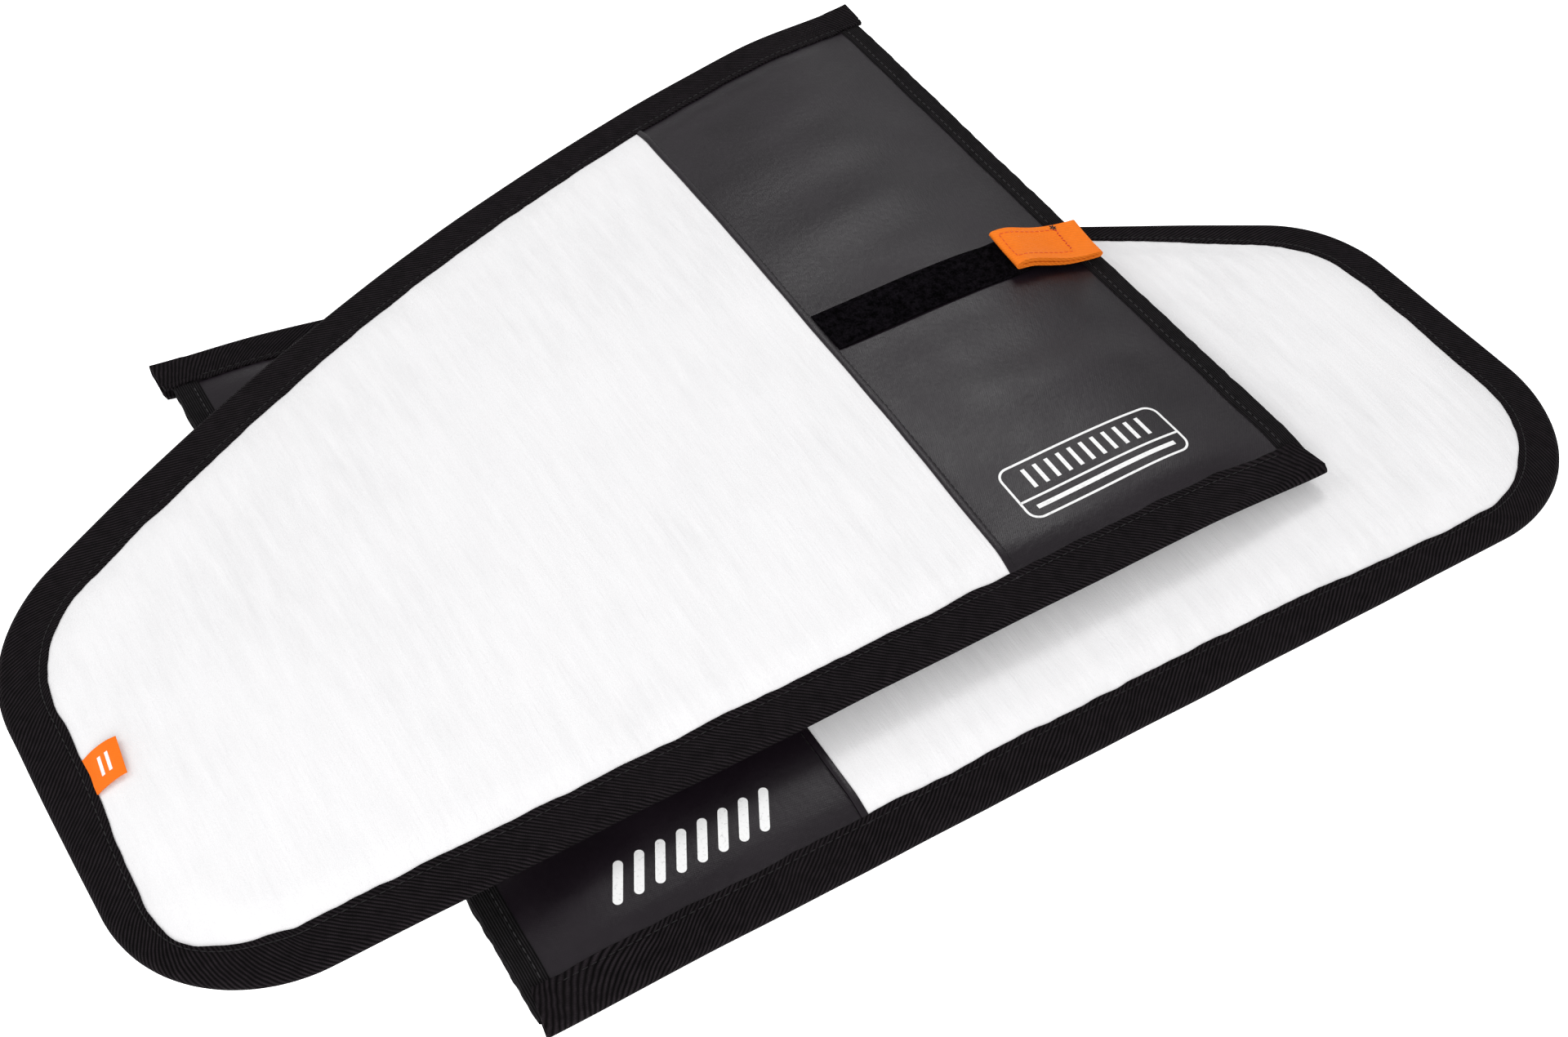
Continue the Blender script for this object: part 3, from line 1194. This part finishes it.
class COVERS_OT_prints(PieceOperator):
    """Framed badge on the upper cover and the slanted stripes on the lower one"""
    bl_idname = "covers.prints"
    bl_label = "Printed marks"

    def make(self, given):
        trim = given.trim
        x, y, rule = trim.badge_x, trim.badge_y, trim.badge_rule
        low = y - trim.badge_w / 2 + rule
        badge = bmesh.new()
        self.bar(badge, (x, y), trim.badge_l, trim.badge_w, corner=trim.badge_r, segments=8)
        inner = badge.faces[:]
        bmesh.ops.inset_region(badge, faces=inner, thickness=trim.line_w, use_boundary=True, use_even_offset=True)
        bmesh.ops.delete(badge, geom=inner, context="FACES")
        self.bar(badge, (x, low), trim.badge_l - trim.line_w, trim.line_w)
        for number in range(-5, 6):
            self.bar(badge, (x + number * 5 * MM, y + rule / 2), 1.6 * MM, 9 * MM)
        self.bar(badge, (x, low - rule / 2 + trim.line_w / 2), trim.badge_l - 2 * trim.badge_r, 2 * trim.line_w)
        self.print_on(badge, made["upper"], trim, "size_badge.upper", "upper_size_badge")
        stripes = bmesh.new()
        for number in range(8):
            place = (trim.stripe_x + (number - 3.5) * trim.stripe_pitch, trim.stripe_y)
            self.bar(stripes, place, trim.stripe_l, trim.stripe_w, trim.stripe_lean, 0.49 * trim.stripe_w)
        self.print_on(stripes, made["lower"], trim, "stripe_mark.lower", "lower_stripe_mark")

    def bar(self, bm, place, length, width, lean=0.0, corner=0.0, segments=6):
        """A flat oblong, its corners rounded if need be."""
        matrix = Matrix.Translation((*place, 0)) @ Matrix.Rotation(lean, 4, "Z")
        matrix = matrix @ Matrix.Diagonal((length, width, 1, 1))
        made_bar = bmesh.ops.create_grid(bm, x_segments=1, y_segments=1, size=0.5, matrix=matrix)
        if corner:
            bmesh.ops.bevel(bm, geom=made_bar["verts"], offset=corner, segments=segments, profile=0.5,
                            affect="VERTICES", material=-1)

    def print_on(self, bm, cover, trim, name, node):
        co = np.array([v.co[:2] for v in bm.verts])
        gridded(bm, co.min(0) + 2 * MM, co.max(0), 3 * MM, 1e-6)

        def heights(x, y):
            face = cover.top(x, y)
            return face + trim.ink_t, face + 0.01 * MM
        faced(bm, cover, heights, name, "print_ink", node)


class COVERS_OT_stage(PieceOperator):
    """Pale floor, soft studio light and the camera"""
    bl_idname = "covers.stage"
    bl_label = "Stage, light and camera"

    def make(self, given):
        studio, scene = given.studio, bpy.context.scene
        bm = bmesh.new()
        bmesh.ops.create_grid(bm, x_segments=4, y_segments=4, size=4.0)
        bmesh.ops.translate(bm, verts=bm.verts, vec=(0, 0, -0.6 * MM))
        mesh = bpy.data.meshes.new("floor")
        bm.to_mesh(mesh)
        bm.free()
        material = bpy.data.materials.new("floor")
        material.use_nodes = True
        shader = material.node_tree.nodes["Principled BSDF"]
        for socket, value in (("Base Color", (0.93, 0.93, 0.93, 1)), ("Roughness", 0.9),
                              ("Specular IOR Level", 0.1), ("Emission Color", (1, 1, 1, 1)),
                              ("Emission Strength", 0.85)):
            shader.inputs[socket].default_value = value
        mesh.materials.append(material)
        floor = bpy.data.objects.new("floor", mesh)
        scene.collection.objects.link(floor)

        scene.world = bpy.data.worlds.new("studio")
        scene.world.use_nodes = True
        surround = scene.world.node_tree.nodes["Background"].inputs
        surround["Color"].default_value = (1, 1, 1, 1)
        surround["Strength"].default_value = studio.sky
        for name, place, width, power in (("key", (0.62, 0.62, 1.10), 0.40, 4.6),
                                          ("fill", (-0.6, -1.2, 0.9), 1.1, 14.0),
                                          ("side", (-1.1, 0.5, 1.1), 0.9, 4.4)):
            lamp = bpy.data.lights.new(name, "AREA")
            lamp.shape, lamp.size, lamp.energy = "SQUARE", width, power
            self.aimed(name, lamp, Vector(place), Vector(place))

        aim = made["origin"] + Vector((studio.aim_x, studio.aim_y, studio.aim_z))
        a, e = studio.azimuth, studio.elevation
        back = Vector((math.sin(a) * math.cos(e), -math.cos(a) * math.cos(e), math.sin(e)))
        lens = bpy.data.cameras.new("camera")
        lens.lens, lens.sensor_width = studio.lens, 36
        scene.camera = self.aimed("camera", lens, aim + back * studio.distance, back)
        scene.view_settings.view_transform = "Standard"

    def aimed(self, name, data, place, back):
        """A light or camera at a place, looking the opposite way to back."""
        made_object = bpy.data.objects.new(name, data)
        made_object.location = place
        made_object.rotation_mode = "QUATERNION"
        made_object.rotation_quaternion = (-back).to_track_quat("-Z", "Y")
        bpy.context.scene.collection.objects.link(made_object)
        return made_object


OPERATORS = (COVERS_OT_prepare, COVERS_OT_panels, COVERS_OT_padding, COVERS_OT_binding, COVERS_OT_hems,
             COVERS_OT_seams, COVERS_OT_loop_tape, COVERS_OT_pull_tab, COVERS_OT_label, COVERS_OT_prints,
             COVERS_OT_stage)


class COVERS_PT_sidebar(bpy.types.Panel):
    """Lists the pieces in the order that they are made"""
    bl_label = "Foil wing covers"
    bl_idname = "COVERS_PT_sidebar"
    bl_space_type = "VIEW_3D"
    bl_region_type = "UI"
    bl_category = "Covers"

    def draw(self, context):
        for operator in OPERATORS:
            self.layout.operator(operator.bl_idname)
        for group in vars(settings()).values():
            box = self.layout.box()
            for name in group.__annotations__:
                box.prop(group, name, text=name.replace("_", " ").capitalize())


def register():
    for name, group in GROUPS.items():
        bpy.utils.register_class(group)
        setattr(bpy.types.Scene, "covers_" + name, PointerProperty(type=group))
    for kind in (*OPERATORS, COVERS_PT_sidebar):
        bpy.utils.register_class(kind)


def unregister():
    for kind in (COVERS_PT_sidebar, *reversed(OPERATORS)):
        bpy.utils.unregister_class(kind)
    for name, group in reversed(GROUPS.items()):
        delattr(bpy.types.Scene, "covers_" + name)
        bpy.utils.unregister_class(group)


def main():
    register()
    for operator in OPERATORS:
        family, action = operator.bl_idname.split(".")
        getattr(getattr(bpy.ops, family), action)()


if __name__ == "__main__":
    main()
